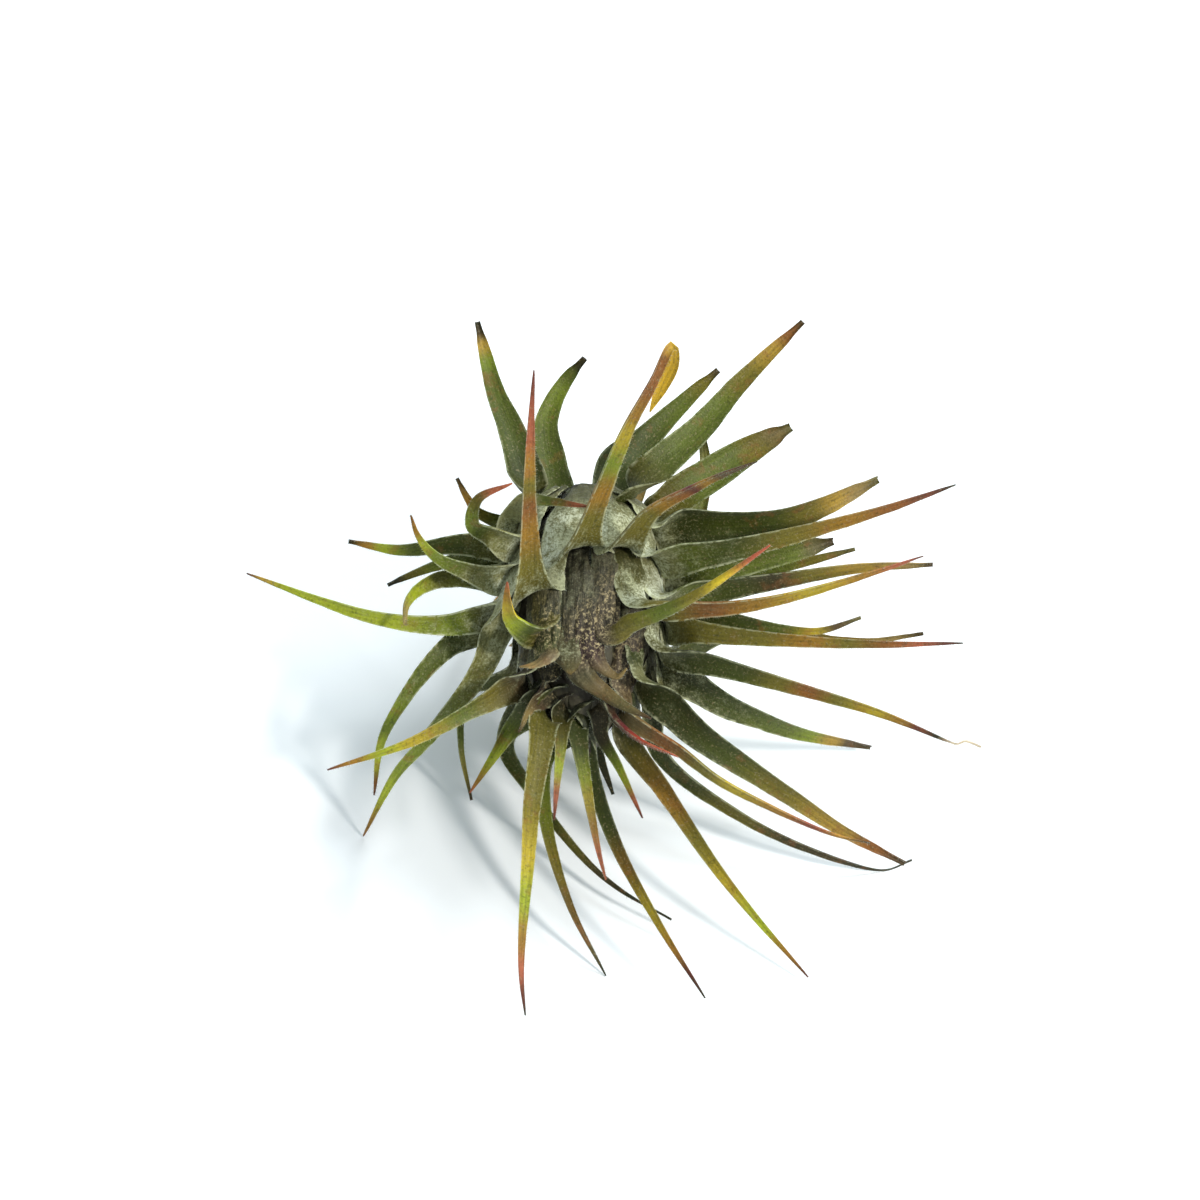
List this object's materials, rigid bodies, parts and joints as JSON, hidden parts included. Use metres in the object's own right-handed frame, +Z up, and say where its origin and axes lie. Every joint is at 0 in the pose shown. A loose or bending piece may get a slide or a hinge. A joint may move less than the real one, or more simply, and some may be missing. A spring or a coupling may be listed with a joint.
{
  "type": "air plant",
  "caption": "Bare air plant rosette: narrow channelled leaves with overlapping silvery sheaths on an egg-shaped bulb, lying on its leaf tips.",
  "frame": {"origin": "on the table, under the middle of the part's box", "axes": "+Z up; the growing end of the bulb points forward along -Y and 30 degrees down; +X to the right as seen from the front"},
  "size_m": [0.0996, 0.1021, 0.0692],
  "materials": {
    "leaf_olive": "matte, fine grey scales, olive blade with a paler edge",
    "leaf_green": "matte, fine grey scales, mid green blade",
    "leaf_lime": "matte, fine grey scales, yellow green blade reddening to the tip",
    "leaf_dark": "matte, fine grey scales, dark green blade",
    "leaf_silver": "matte, dense silvery scales",
    "leaf_orange": "matte, fine grey scales, orange-brown blade with a pink tip",
    "leaf_pink": "matte, crimson to salmon blade",
    "leaf_brown": "matte, olive brown base speckled beige",
    "leaf_tan": "matte, dry tan leaf",
    "heart": "matte, olive green leaf bases"
  },
  "bodies": {
    "root": {"front_tall": "leaf_olive", "front_folded": "leaf_olive", "front_purple": "leaf_orange", "front_pink": "leaf_orange", "front_small": "leaf_lime", "front_curl": "leaf_green", "front_hooked": "leaf_brown", "front_scale": "leaf_silver", "front_dry": "leaf_tan", "right_long": "leaf_olive", "right_red": "leaf_lime", "right_spotted": "leaf_green", "right_blunt": "leaf_green", "right_grey": "leaf_green", "right_hook": "leaf_dark", "right_level": "leaf_olive", "right_stub": "leaf_tan", "right_thread": "leaf_olive", "right_speckled": "leaf_green", "right_dark": "leaf_dark", "right_low": "leaf_dark", "right_inner": "leaf_orange", "inner_pink": "leaf_pink", "low_long": "leaf_olive", "low_short": "leaf_lime", "low_middle": "leaf_olive", "low_right": "leaf_lime", "low_green": "leaf_green", "low_far_right": "leaf_olive", "low_resting": "leaf_lime", "low_whisker": "leaf_dark", "low_broken": "leaf_dark", "low_left": "leaf_lime", "low_thin": "leaf_dark", "low_brown": "leaf_tan", "left_low": "leaf_lime", "left_deep": "leaf_olive", "left_ridged": "leaf_green", "left_long": "leaf_lime", "left_silver": "leaf_lime", "left_cut": "leaf_green", "left_black": "leaf_green", "left_hook": "leaf_silver", "left_tuft": "leaf_tan", "left_curl": "leaf_pink", "back_left_tall": "leaf_green", "back_left_bent": "leaf_green", "back_middle": "leaf_dark", "back_right_tall": "leaf_lime", "back_right_broad": "leaf_green", "right_top": "leaf_dark", "back_grey": "leaf_silver", "back_dry": "leaf_tan", "under_left": "leaf_green", "under_right": "leaf_olive", "under_middle": "leaf_green", "under_low_left": "leaf_lime", "under_low_right": "leaf_green", "under_side": "leaf_green", "heart": "heart"}
  },
  "joints": []
}
